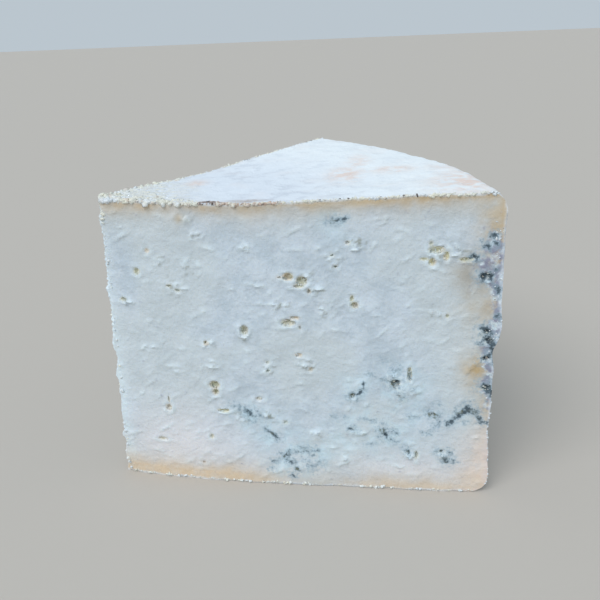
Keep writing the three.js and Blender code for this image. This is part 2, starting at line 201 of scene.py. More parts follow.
# Lilac-white bloom where the rind creeps onto the first cut: distance, height, width, tallness, strength
FIRST_CUT_BLOOM = [
    (136.5, 96.0, 3.0, 4.5, 1.0), (134.5, 90.0, 5.0, 3.0, 0.6), (137.0, 86.5, 4.5, 6.5, 0.8),
    (138.5, 78.0, 2.5, 6.0, 0.7), (138.0, 65.5, 2.6, 3.5, 0.9), (137.0, 58.5, 2.8, 4.0, 0.8),
    (138.0, 43.0, 2.4, 4.0, 0.8), (139.0, 49.0, 1.4, 6.0, 0.6),
]
# Tan and brown stains on the first cut, as above
FIRST_CUT_STAINS = [
    (133.6, 50.6, 5.0, 6.0, 1.0), (129.5, 86.0, 6.5, 6.0, 0.45), (32.9, 104.8, 1.5, 1.6, 0.6),
    (133.0, 76.0, 7.0, 10.0, 0.4), (138.5, 94.0, 1.6, 9.0, 0.9), (137.0, 102.0, 6.0, 9.0, 0.7),
    (43.0, 111.0, 3.6, 1.6, 1.0),
]
# Openings of the first cut that are olive inside, as above. The others are tan
FIRST_CUT_GLOOM = [
    (69.2, 84.3, 4.0, 3.2, 1.0), (72.6, 82.6, 3.6, 3.2, 0.8), (91.6, 75.5, 3.0, 3.6, 0.9),
    (106.1, 44.6, 3.0, 3.0, 1.3), (52.7, 64.4, 2.6, 2.6, 0.55), (118.8, 94.1, 6.0, 4.0, 0.6),
    (75.4, 79.9, 2.0, 2.0, 1.0),
]
# Duller, greyer paste on the first cut, as above
FIRST_CUT_DUSK = [
    (131.0, 85.5, 5.0, 6.5, 0.8), (136.0, 75.0, 3.5, 7.0, 0.22), (62.0, 109.0, 12.0, 2.0, 0.25),
    (76.0, 3.0, 12.0, 5.0, 0.25),
]
# On the second cut: clusters of veins, veins in each, and spots of mould beside the rind
SECOND_CUT_CLUSTERS = 12
VEINS_IN_CLUSTER = 6
RIND_SPOTS = 26
VEIN_SEED = 613
# Lumps down the broken tip: height, reach along the tip, how far each stands out
TIP_LUMPS = [
    (104.0, 2.0, 0.5), (77.6, 0.9, 0.7), (56.6, 3.4, 1.0), (43.4, 2.6, 1.0), (36.2, 1.2, 0.7),
    (28.0, 5.0, 0.5), (17.2, 1.3, 1.4), (8.0, 3.0, 0.4), (0.8, 1.2, 0.7),
]
# Pinkish patches on the top: distance along the first cut, distance into the wedge, width, depth, strength
TOP_BLUSH = [
    (86.0, 38.0, 6.5, 12.0, 1.0), (89.0, 60.0, 4.5, 11.0, 0.7), (103.0, 43.0, 7.5, 6.0, 0.9),
    (130.0, 17.0, 13.0, 20.0, 1.0), (124.0, 44.0, 8.0, 8.0, 0.6), (30.0, 29.0, 4.0, 6.0, 0.8),
]
# Dark brown cracks in the top, as above
TOP_SCORCH = [(43.0, 0.6, 3.4, 1.4, 1.0), (47.0, 0.5, 2.0, 0.8, 0.6), (56.0, 2.0, 10.0, 3.2, 0.42)]
# Paler, faintly pink paste on the first cut, partly its own colour and partly painted light that brightens
# the low part of the cut: distance, height, width, tallness, strength
FIRST_CUT_PALE_AND_LIT = [
    (24.0, 16.0, 25.0, 16.0, 1.0), (58.0, 8.0, 22.0, 7.0, 0.5), (112.0, 9.0, 26.0, 7.0, 0.7),
]

# Crumbs: how many, and a seed for them
RIM_CRUMBS, TIP_CRUMBS, SIDE_CRUMBS, BASE_CRUMBS = (1850, 97), (60, 41), (190, 83), (420, 59)
RIM_LUMPS = 430  # the first of the rim's crumbs, which are lumps of curd near the tip
SCORCHED_LUMPS = 80  # the first of those, which lie along the dark cracks
SCORCHED_FROM, SCORCHED_TO = 44, 68
CURD_SEED, GRAIN_SEED = 211, 733  # for loose curds, and for the shapes of all crumbs
SMALLEST_CURDLED_OPENING = 2.6  # width times tallness, from which an opening has loose curds
CRUMBS_IN_HEAP = 24  # crumbs shaped together before they join the rest
FINE_CRUMB = 0.6  # crumbs smaller than this have fewer faces


# ---------------------------------------------------------------- noise and seeded draws
def sequence(seed):
    """A Park-Miller sequence, the same as the part's source uses, so both scatter the same openings."""
    state = seed
    while True:
        state = (state * 16807) % 2147483647
        yield state / 2147483647


def lattice_value(i, j, k):
    s = np.sin(i * 127.1 + j * 311.7 + k * 74.7) * 43758.5453
    return 2 * (s - np.floor(s)) - 1


def noise(x, y, z):
    """Smooth noise from -1 to 1 over a lattice of unit cells, for numbers or arrays."""
    x, y, z = np.broadcast_arrays(np.asarray(x, float), np.asarray(y, float), np.asarray(z, float))
    i, j, k = np.floor(x), np.floor(y), np.floor(z)
    u, v, w = [t * t * (3 - 2 * t) for t in (x - i, y - j, z - k)]

    def row(dj, dk):
        left, right = lattice_value(i, j + dj, k + dk), lattice_value(i + 1, j + dj, k + dk)
        return left + (right - left) * u

    near = row(0, 0) + (row(1, 0) - row(0, 0)) * v
    far = row(0, 1) + (row(1, 1) - row(0, 1)) * v
    return near + (far - near) * w


def wave(kind, x, y, z):
    height, length = kind
    return height * noise(x / length, y / length, z / length)


def smoothstep(value, low, high):
    t = np.clip((value - low) / (high - low), 0, 1)
    return t * t * (3 - 2 * t)


def lerp(a, b, t):
    return a + (b - a) * t


def bell(distance, reach):
    """1 at no distance, falling smoothly to almost nothing two reaches away."""
    return np.exp(-((distance / reach) ** 2))


# ---------------------------------------------------------------- the wheel's and the cuts' surfaces
def top_height(radius):
    share = radius / WHEEL_RADIUS
    return WHEEL_HEIGHT - TOP_DIP * bell(share - 0.36, 0.2) + TOP_RISE * bell(share - 0.95, 0.22)


def side_fold(fold, height):
    """How deep a fold or a crease that runs round the side is at a height."""
    middle, reach, depth = fold
    return depth * bell(height - middle, reach)


def side_radius(height):
    """The side's distance from the axis, from the bottom shoulder to the top one."""
    share = np.clip((height - BOTTOM_SHOULDER) / (WHEEL_HEIGHT - TOP_SHOULDER - BOTTOM_SHOULDER), 0, 1)
    hollow = SIDE_HOLLOW * np.sin(np.pi * share) * (1.2 - share)
    return WHEEL_RADIUS - hollow + side_fold(SIDE_SWELL, height) - side_fold(SIDE_CREASE, height)


def rind_relief(x, y, z):
    """How far the rind stands out."""
    broad = wave(RIND_WAVE, x, y, z) + wave(RIND_PUCKER, x, y, z)
    return broad + (wave(RIND_WRINKLE, x, y, z) + wave(RIND_GRAIN, x, y, z))


def side_inset(x, y):
    """The side is flatter than a circle halfway between the two cuts."""
    turn = np.arctan2(y, x)
    between = np.maximum(0, np.sin(np.pi * turn / WEDGE_ANGLE))
    return SIDE_FLAT * between * (np.hypot(x, y) / WHEEL_RADIUS) ** 4


def shape_wheel(x, y, z):
    radius = np.maximum(np.hypot(x, y), 1)
    lift = np.clip(z / BOTTOM_SHOULDER, 0, 1)
    relief = rind_relief(x, y, z)
    outwards = lift * np.minimum(1, radius / WHEEL_RADIUS) ** 4
    reach = 1 + (relief * outwards - side_inset(x, y)) / radius
    raised = np.where(z > WHEEL_HEIGHT / 2, 0.7 * relief, 0)
    return x * reach, y * reach, z + raised


def cut_bow(along):
    share = np.clip(along / WHEEL_RADIUS, 0, 1)
    return CUT_BULGE * np.sin(np.pi * share ** 0.75)


def scattered(count, seed, smallest, largest):
    """Pinholes and short tears spread over a cut by rule, as in the part's source."""
    draw = sequence(seed)
    made = []
    for n in range(count):
        along, up = 8 + 120 * next(draw), 8 + 95 * next(draw)
        wide = lerp(smallest, largest, next(draw) ** 2)
        size = (wide * (1 + 0.6 * next(draw)), wide * (0.6 + 0.5 * next(draw)))
        made.append((along, up, *size, 20 + n + seed))
    return made


def all_openings():
    """Every opening as (side, distance, height, width, tallness, key)."""
    listed = [(1, *place, key) for key, place in enumerate(FIRST_CUT_OPENINGS)]
    for rule in (SECOND_CUT_OPENINGS, SECOND_CUT_PINHOLES):
        listed += [(-1, *place) for place in scattered(*rule)]
    return listed


OPENINGS = all_openings()


def tears(side):
    """Short tears in the paste: place, direction, length, breadth and height of each lifted flake."""
    draw = sequence(TEAR_SEEDS[side])
    made = []
    for _ in range(TORN_FLAKES):
        along, up = 3 + 134 * next(draw), 3 + 105 * next(draw)
        turn = math.radians(lerp(-25, 55, next(draw)))
        length, breadth = lerp(0.9, 3.6, next(draw) ** 2), lerp(0.7, 1.9, next(draw))
        made.append((along, up, turn, length, breadth, lerp(0.16, 0.62, next(draw) ** 1.6)))
    for along, up, reach in FIRST_CUT_RUFFLES if side > 0 else []:
        for _ in range(FLAKES_IN_RUFFLE):
            spread, bearing = reach * next(draw) ** 0.7, 2 * math.pi * next(draw)
            spot = (along + spread * math.cos(bearing), up + 0.7 * spread * math.sin(bearing))
            turn = math.radians(lerp(-60, 80, next(draw)))
            length, breadth = lerp(0.6, 1.8, next(draw)), lerp(0.6, 1.2, next(draw))
            made.append((*spot, turn, length, breadth, lerp(0.35, 0.8, next(draw))))
    return made


TEARS = {side: tears(side) for side in (1, -1)}


def torn_relief(side, x, z):
    """Height of the lifted flakes: each rises slowly and ends at a sharp lip."""
    total = np.zeros_like(x)
    for along, up, turn, length, breadth, height in TEARS[side]:
        reach = 2.5 * length + breadth
        near = np.nonzero((np.abs(x - along) < reach) & (np.abs(z - up) < reach))[0]
        if not len(near):
            continue
        dx, dz = x[near] - along, z[near] - up
        run = dx * math.cos(turn) + dz * math.sin(turn)
        over = dz * math.cos(turn) - dx * math.sin(turn)
        over = over + 0.35 * noise(run * 1.1, along, up)
        slope = np.clip(1 - over / breadth, 0, 1) * smoothstep(over, -0.22, 0.12)
        total[near] += height * slope * bell(run, length)
    return total


def patches(x, z, table):
    """The strongest of some soft oval patches at each point."""
    total = np.zeros_like(x)
    for along, up, wide, tall, strength in table:
        total = np.maximum(total, strength * np.exp(-(((x - along) / wide) ** 2) - ((z - up) / tall) ** 2))
    return total


def around_openings(side, x, z):
    """For each opening on a side: the points near it, how far each is beyond its edge and over its middle,
    and the opening's size and key."""
    for opening_side, along, up, wide, tall, key in OPENINGS:
        near = np.nonzero((np.abs(x - along) < wide + 3) & (np.abs(z - up) < tall + 3))[0]
        if opening_side == side and len(near):
            dx, dz = x[near] - along, z[near] - up
            size = math.sqrt(wide * tall)
            yield near, (np.hypot(dx / wide, dz / tall) - 0.5) * size, dz / tall, size, key


def lip_relief(side, x, z):
    """The torn lips round the openings, highest below each one."""
    total = np.zeros_like(x)
    for near, beyond, over, size, key in around_openings(side, x, z):
        ragged = 0.65 + 0.7 * noise(x[near] / 1.2, key, z[near] / 1.2)
        lip = LIP_HEIGHT * min(1, size / 2.4) * ragged * (1 - 0.45 * np.tanh(over))
        total[near] = np.maximum(total[near], lip * bell(beyond - 0.9, 0.8))
    return total


def mouth_relief(side, x, z):
    """How far the paste sinks towards each opening, which rounds its edge."""
    total = np.zeros_like(x)
    for near, beyond, _, size, _ in around_openings(side, x, z):
        sink = MOUTH_DEPTH * min(1, size / 2) * (1 - smoothstep(beyond, -0.3, 0.75))
        total[near] = np.maximum(total[near], sink)
    return total


def lining_tint(side, x, z):
    """How strongly the paste is tinted in and round each opening."""
    total = np.zeros_like(x)
    for near, beyond, _, size, key in around_openings(side, x, z):
        strength = min(1, size / 2.2) * (0.8 + 0.3 * float(noise(key, 3.3, 1.1)))
        total[near] = np.maximum(total[near], strength * (1 - smoothstep(beyond, -0.3, 0.55)))
    return total


def cut_surface(side, x, z):
    """How far a cut stands out from its flat plane."""
    paste = wave(PASTE_WAVE, x, 50 * side, z) + wave(PASTE_GRAIN, x, 50 * side, z)
    curd = wave(PASTE_CURD, x, 50 * side, z) + 0.05 * noise(x / 1.3, 9 * side, z / 1.3)
    curds = patches(x, z, FIRST_CUT_CURDS) if side > 0 else 0
    torn = torn_relief(side, x, z) + lip_relief(side, x, z) - mouth_relief(side, x, z)
    return cut_bow(x) + paste + curd + curds + torn


def tip_relief(y, z):
    """How far the broken tip stands out: listed lumps, small regular teeth and fine curd."""
    lumps = sum(stand * bell(z - height, reach) for height, reach, stand in TIP_LUMPS)
    height, pitch = TOOTH
    phase = (z + 0.9 * noise(9.1, y / 4, z / 6) + 0.9 * noise(4.4, y / 1.6, z / 3.5)) / pitch
    tooth = (1 - np.abs(2 * (phase - np.floor(phase)) - 1)) ** 1.4
    uneven = np.clip(0.6 + 0.6 * noise(2.2, y / 3, z / 3.1) + 0.5 * noise(6.1, y / 1.3, z / 2.2), 0.05, 1.3)
    uneven = uneven * lerp(0.45, 1, smoothstep(z, 40, 62))
    lumps = lumps * (1 + 0.3 * noise(3.7, y / 2.4, z / 2.4))
    return lumps + height * tooth * uneven + 0.3 * noise(5.3, y, z)


# ---------------------------------------------------------------- making meshes
def object_from(bm, name, materials=()):
    """A new object from a bmesh, with its doubles merged and its faces pointing out."""
    bmesh.ops.remove_doubles(bm, verts=bm.verts, dist=SAME_PLACE)
    bmesh.ops.recalc_face_normals(bm, faces=bm.faces)
    mesh = bpy.data.meshes.new(name)
    bm.to_mesh(mesh)
    bm.free()
    for material in materials:
        mesh.materials.append(material)
    made = bpy.data.objects.new(name, mesh)
    bpy.context.scene.collection.objects.link(made)
    return made


def coordinates(mesh):
    flat = np.empty(3 * len(mesh.vertices))
    mesh.vertices.foreach_get("co", flat)
    return flat.reshape(-1, 3)


def move_vertices(mesh, places):
    mesh.vertices.foreach_set("co", np.ascontiguousarray(places, dtype=np.float32).ravel())
    mesh.update()


def add_mask(mesh, name, values):
    mask = mesh.attributes.new(name, "FLOAT", "POINT")
    mask.data.foreach_set("value", np.asarray(values, dtype=np.float32))


def cut_with(target, cutter, operation):
    """Cuts or intersects target with an object or a collection, and applies the result."""
    step = target.modifiers.new(operation, "BOOLEAN")
    step.operation = operation
    step.solver = "MANIFOLD"
    step.material_mode = "TRANSFER"
    if isinstance(cutter, bpy.types.Collection):
        step.operand_type = "COLLECTION"
        step.collection = cutter
    else:
        step.object = cutter
    graph = bpy.context.evaluated_depsgraph_get()
    result = bpy.data.meshes.new_from_object(target.evaluated_get(graph))
    target.modifiers.clear()
    target.data = result
    used = list(cutter.objects) if isinstance(cutter, bpy.types.Collection) else [cutter]
    for tool in used:
        bpy.data.objects.remove(tool)


def wheel_profile():
    """The wheel's half section from the middle of its underside to the middle of its top."""
    flat_bottom = WHEEL_RADIUS - BOTTOM_SHOULDER
    flat_top = WHEEL_RADIUS - TOP_SHOULDER
    top_of_side = top_height(flat_top) - TOP_SHOULDER
    points = [(flat_bottom * n / 4, 0) for n in range(4)]
    arc = 10
    for n in range(arc + 1):
        turn = n / arc * math.pi / 2
        reach = side_radius(BOTTOM_SHOULDER) - BOTTOM_SHOULDER * (1 - math.sin(turn))
        points.append((reach, BOTTOM_SHOULDER * (1 - math.cos(turn))))
    steps = round((top_of_side - BOTTOM_SHOULDER) / RIND_CELL)
    for n in range(1, steps):
        height = lerp(BOTTOM_SHOULDER, top_of_side, n / steps)
        points.append((side_radius(height), height))
    for n in range(arc + 1):
        turn = n / arc * math.pi / 2
        reach = side_radius(top_of_side) - TOP_SHOULDER * (1 - math.cos(turn))
        points.append((reach, top_of_side + TOP_SHOULDER * math.sin(turn)))
    rings = round(flat_top / RIND_CELL)
    for n in range(rings - 1, -1, -1):
        radius = flat_top * n / rings
        points.append((radius, top_height(radius)))
    return points


def make_wheel(material):
    """The whole wheel: fine where the wedge is, coarse where the rest was."""
    bm = bmesh.new()
    start = -math.radians(8)
    fine = WEDGE_ANGLE - 2 * start
    section = [bm.verts.new((r * math.cos(start), r * math.sin(start), z)) for r, z in wheel_profile()]
    chain = section + [bm.edges.new(pair) for pair in zip(section, section[1:])]
    turns = ((fine, round(fine / FINE_TURN)), (2 * math.pi - fine, COARSE_STEPS))
    for angle, steps in turns:
        spun = bmesh.ops.spin(bm, geom=chain, cent=(0, 0, 0), axis=(0, 0, 1), angle=angle, steps=steps)
        chain = spun["geom_last"]
    wheel = object_from(bm, "wheel", [material])
    places = coordinates(wheel.data)
    move_vertices(wheel.data, np.column_stack(shape_wheel(*places.T)))
    return wheel


def make_block(name, material, columns, rows, lay, depth):
    """A block with a flat back. Its fine face is a grid, laid by a function of the share across and up."""
    bm = bmesh.new()
    bmesh.ops.create_grid(bm, x_segments=columns, y_segments=rows, size=0.5)
    for corner in bm.verts:
        corner.co = lay(corner.co.x + 0.5, corner.co.y + 0.5)
    rim = [edge for edge in bm.edges if edge.is_boundary]
    wall = bmesh.ops.extrude_edge_only(bm, edges=rim)
    back = [item for item in wall["geom"] if isinstance(item, bmesh.types.BMVert)]
    bmesh.ops.translate(bm, verts=back, vec=depth)
    far_rim = [item for item in wall["geom"] if isinstance(item, bmesh.types.BMEdge) and item.is_boundary]
    bmesh.ops.edgeloop_fill(bm, edges=far_rim)
    return object_from(bm, name, [material])


def make_cut_block(side, cell, material):
    """side is 1 for the first cut and -1 for the second, which faces the other way."""
    length, height, depth, start, foot = 176, 128, 200, -28, -8
    block = make_block(
        f"cut_block_{side}", material, round(length / cell), round(height / cell),
        lambda across, up: Vector((start + length * across, 0, foot + height * up)),
        Vector((0, side * depth, 0)),
    )
    places = coordinates(block.data)
    face = np.abs(places[:, 1]) < 1
    x, z = places[face, 0], places[face, 2]
    places[face, 1] = -side * cut_surface(side, x, z)
    if side < 0:
        places = places @ turned(WEDGE_ANGLE)
    move_vertices(block.data, places)
    return block


def turned(angle):
    """The matrix that turns row vectors about +Z."""
    c, s = math.cos(angle), math.sin(angle)
    return np.array([[c, s, 0], [-s, c, 0], [0, 0, 1]])


def make_tip_block(material):
    width, height, depth, foot, spread = 14, 124, 190, -6, 30
    block = make_block(
        "tip_block", material, round(width / TIP_CELL), round(height / TIP_CELL),
        lambda across, up: Vector((0, width * (across - 0.5), foot + height * up)),
        Vector((depth, 0, 0)),
    )
    places = coordinates(block.data)
    face = places[:, 0] < 1
    y, z = places[face, 1], places[face, 2]
    places[face, 0] = lerp(TIP_BOTTOM, TIP_TOP, z / WHEEL_HEIGHT) - tip_relief(y, z)
    places[~face, 1] *= spread  # its back is wide enough for the whole wedge
    move_vertices(block.data, places @ turned(WEDGE_ANGLE / 2))
    return block


def on_cut(side, along, up, outwards=0):
    """A matrix that puts a piece on a cut, turned to face out of it."""
    y = -side * (float(cut_bow(along)) + outwards)
    turn = 0 if side > 0 else WEDGE_ANGLE
    return Matrix.Rotation(turn, 4, "Z") @ Matrix.Translation((along, y, up))


def blob(wide, deep, tall, key, fineness):
    """An uneven blob as a bmesh, wide along x and tall along z."""
    bm = bmesh.new()
    bmesh.ops.create_icosphere(bm, subdivisions=fineness, radius=0.5)
    places = np.array([corner.co for corner in bm.verts])
    x, y, z = places.T
    uneven = 1 + 0.42 * noise(3.7 * x + key, 3.7 * y + 7 * key, 3.7 * z)
    uneven = uneven + 0.24 * noise(8 * x + key, 8 * y, 8 * z)
    for corner, share in zip(bm.verts, uneven):
        corner.co = Vector((corner.co.x * wide, corner.co.y * deep, corner.co.z * tall)) * share
    return bm


def make_openings(material):
    """The blobs that are cut out of the paste: each opening, with side pockets on the larger ones."""
    holder = bpy.data.collections.new("openings")
    bpy.context.scene.collection.children.link(holder)
    draw = sequence(POCKET_SEED)
    for number, (side, along, up, wide, tall, key) in enumerate(OPENINGS):
        deep = OPENING_DEPTH * min(wide, tall) + LEAST_DEPTH
        tilt = math.radians(50 * float(noise(key, 0.5, 0.5)))
        spots = [(0, 0, 1.0)]
        if max(wide, tall) > POCKETED_OPENING:
            spots += [(lerp(-0.5, 0.5, next(draw)), lerp(-0.5, 0.5, next(draw)), lerp(0.3, 0.5, next(draw)))
                      for _ in range(POCKETS)]
        for part, (across, over, size) in enumerate(spots):
            fineness = 3 if part == 0 and max(wide, tall) > ROUND_OPENING else 2
            bm = blob(wide * size, deep * size, tall * size, key + 3.1 * part, fineness)
            place = on_cut(side, along + across * wide, up + over * tall, -0.12 * deep)
            bmesh.ops.transform(bm, matrix=place @ Matrix.Rotation(tilt, 4, "Y"), verts=bm.verts)
            piece = object_from(bm, f"opening_{number}_{part}", [material])
            bpy.context.scene.collection.objects.unlink(piece)
            holder.objects.link(piece)
    return holder


# ---------------------------------------------------------------- masks on the paste
def cut_coordinates(places, side):
    """Distance from the tip along a cut, how far inside that cut's plane, and height."""
    turn = 0 if side > 0 else WEDGE_ANGLE
    local = places @ turned(-turn)
    return local[:, 0], side * local[:, 1], local[:, 2]


def stroke_distance(x, z, stroke):
    """Distance from each point to a vein's middle line, in units of its breadth."""
    x0, z0, x1, z1, breadth = stroke[:5]
    run = np.array((x1 - x0, z1 - z0))
    share = np.clip(((x - x0) * run[0] + (z - z0) * run[1]) / max(run @ run, 1e-6), 0, 1)
    return np.hypot(x - x0 - share * run[0], z - z0 - share * run[1]) / breadth


def second_cut_veins():
    """Clusters of short veins by rule, for the cut that faces away."""
    draw = sequence(VEIN_SEED)
    strokes, haze = [], []
    for _ in range(SECOND_CUT_CLUSTERS):
        along, up = lerp(38, 132, next(draw) ** 0.7), lerp(8, 80, next(draw) ** 1.3)
        haze.append((along, up, lerp(6, 10, next(draw)), lerp(0.4, 0.9, next(draw))))
        for _ in range(VEINS_IN_CLUSTER):
            x, z = along + 14 * (next(draw) - 0.5), up + 10 * (next(draw) - 0.5)
            turn, length = 2.6 * next(draw) - 0.4, lerp(1, 5, next(draw) ** 2)
            end = (x + length * math.cos(turn), z + length * math.sin(turn))
            strokes.append((x, z, *end, lerp(0.6, 1.1, next(draw)), lerp(0.4, 1.0, next(draw))))
    for _ in range(RIND_SPOTS):
        x, z = 139 - 5 * next(draw) ** 2, lerp(20, 100, next(draw))
        strokes.append((x, z, x + 1.5 * next(draw), z - 1.5 * next(draw), lerp(0.8, 1.5, next(draw)), 1.0))
    return strokes, haze


def mould_masks(run, z, first):
    """The blue mould along each vein, and the soft haze round it."""
    mould, haze = np.zeros_like(run), np.zeros_like(run)
    ragged = 0.5 * noise(run / 1.5, 4.4, z / 1.5) + 0.3 * noise(run / 0.8, 8.8, z / 0.8)
    second_veins, second_haze = second_cut_veins()
    cuts = ((first, FIRST_CUT_VEINS, FIRST_CUT_HAZE), (~first, second_veins, second_haze))
    for chosen, veins, clouds in cuts:
        for vein in veins:
            distance = np.maximum(stroke_distance(run, z, vein) + ragged, 0)
            strength = vein[5] * (0.65 * bell(distance, 1) + 0.4 * bell(distance, 3.2))
            mould = np.maximum(mould, np.where(chosen, strength, 0))
        for along, up, reach, strength in clouds:
            cloud = strength * bell(np.hypot(run - along, z - up), reach)
            haze = np.maximum(haze, np.where(chosen, cloud, 0))
    return {"mould": mould, "haze": haze}


def edge_masks(under_top, within_side, run, z):
    """The warmer paste near the rind and the base, and the line of rind that shows at a cut's edge. The
    warmth at the base is partly painted warm bounce light from below.
    """
    uneven = 1 + 0.45 * noise(run / 9, 2.2, z / 9) + 0.25 * noise(run / 3, 6.6, z / 3)
    under = np.maximum(under_top, 0)
    below_top = 0.75 * bell(under, 3.2 * uneven) + 0.35 * bell(under, 7.5)
    beside_rind = 0.6 * bell(within_side, 3.5 * uneven) + 0.45 * bell(within_side, 9)
    under_rind = np.maximum(below_top, beside_rind * lerp(0.2, 1, smoothstep(z, 10, 34)))
    # Ivory band along the base: partly the paste's own colour, partly painted warm light bounced up from
    # below
    above_base_and_bounce = 0.75 * bell(z, 5.4 * uneven) + 0.35 * bell(z, 11)
    above_base_and_bounce = above_base_and_bounce * lerp(1.35, 0.8, smoothstep(run, 30, 80)) * (1 - 0.5 * bell(run - 76, 17))
    low_corner = 1.1 * bell(within_side, 11) * (1 - smoothstep(z, 12, 38))
    tan_line = 0.7 * bell(under, 1.5 * uneven) + 0.4 * bell(under, 4.5)
    edge = np.minimum(np.minimum(under_top, within_side), z)
    edge = edge / (1 + 1.8 * low_corner) + 0.35 * noise(run / 1.7, 3.3, z / 1.7)
    return {
        "under_rind": np.clip(under_rind, 0, 1), "above_base_and_bounce": np.clip(above_base_and_bounce, 0, 1),
        "low_corner": np.clip(low_corner, 0, 1), "rim": 1 - smoothstep(edge, 0.2, 0.9),
        "tan_line": tan_line * lerp(0.12, 1, smoothstep(run, 45, 85)),
    }


def first_cut_masks(within_side, run, z, first):
    """The marks that are listed for the first cut. A few of them have a general part on both cuts."""
    def listed(table, elsewhere=0):
        return np.where(first, patches(run, z, table), elsewhere)

    patchy = 0.8 + 0.5 * noise(run / 5, 7.7, z / 5)
    rind_bloom = smoothstep(z, 30, 42) * (1 - smoothstep(z, 97, 103)) * patchy
    rind_bloom = rind_bloom * bell(np.maximum(within_side, 0), 3.4)
    ruffled = listed([(along, up, reach, reach, 0.9) for along, up, reach in FIRST_CUT_RUFFLES])
    return {
        "bloom": np.clip(np.maximum(rind_bloom, listed(FIRST_CUT_BLOOM)), 0, 1),
        "stain": listed(FIRST_CUT_STAINS),
        "dusk": listed(FIRST_CUT_DUSK),
        # Painted shade: dark specks in the ruffled places, for the shadows of tiny torn pits that the mesh
        # doesn't have
        "nick_shade": smoothstep(noise(run / 1.2, 5.5, z / 0.85), 0.22, 0.5) * ruffled,
        "gloom": np.clip(0.25 + listed(FIRST_CUT_GLOOM, 0.4), 0, 1),
        # Partly painted light: the paler patches brighten the low part of the cuts
        "pale": listed(FIRST_CUT_PALE_AND_LIT, patches(run, z, FIRST_CUT_PALE_AND_LIT[1:])),
    }


def rind_masks(x, y, z, radius):
    return {
        "blush": patches(x, y, TOP_BLUSH), "scorch": patches(x, y, TOP_SCORCH),
        "crust": 1 - smoothstep(radius + 7 * noise(x / 6, y / 6, 1.5), 18, 46),
        "top": smoothstep(z, WHEEL_HEIGHT - 9, WHEEL_HEIGHT - 3), "powder": smoothstep(radius, 60, 115),
    }


def paint_masks(mesh, places):
    """Stores what the materials need to know about each vertex. places are in millimetres from the tip."""
    x, y, z = places.T
    radius = np.hypot(x, y)
    under_top = top_height(np.minimum(radius, WHEEL_RADIUS)) + 0.7 * rind_relief(x, y, z) - z
    within_side = side_radius(z) - side_inset(x, y) - radius
    along, inside, up = cut_coordinates(places, 1)
    back_along, back_inside, back_up = cut_coordinates(places, -1)
    depth = inside + cut_surface(1, along, up)
    back_depth = back_inside + cut_surface(-1, back_along, back_up)
    first = depth < back_depth
    run = np.where(first, along, back_along)
    deepest = np.minimum(depth, back_depth)
    tip_span = x * math.cos(WEDGE_ANGLE / 2) + y * math.sin(WEDGE_ANGLE / 2)
    deepest = np.where(tip_span < 7, np.minimum(deepest, 0.2), deepest)

    def on_either(rule):
        return np.where(first, rule(1, along, up), rule(-1, back_along, back_up))

    curds = np.where(first, patches(run, z, FIRST_CUT_CURDS), 0)
    # The flake mask whitens the raised flakes, lips and curds and the thin edge at the tip: partly the
    # curd's own white, partly painted highlight where the raised places catch the light and painted light
    # where the thin tip lets it through
    raised = (on_either(torn_relief) / 0.45, on_either(lip_relief) / 0.4, 1.7 * curds, bell(run - 2, 3.2))
    masks = {
        "depth": np.clip(deepest, 0, 6), "lining": on_either(lining_tint),
        "flake": np.clip(np.maximum.reduce(raised), 0, 1),
        **mould_masks(run, z, first), **edge_masks(under_top, within_side, run, z),
        **first_cut_masks(within_side, run, z, first), **rind_masks(x, y, z, radius),
    }
    for name, values in masks.items():
        add_mask(mesh, name, values)


# ---------------------------------------------------------------- node helpers
def new_material(name):
    material = bpy.data.materials.new(name)
    material.use_nodes = True
    material.node_tree.nodes.clear()
    return material


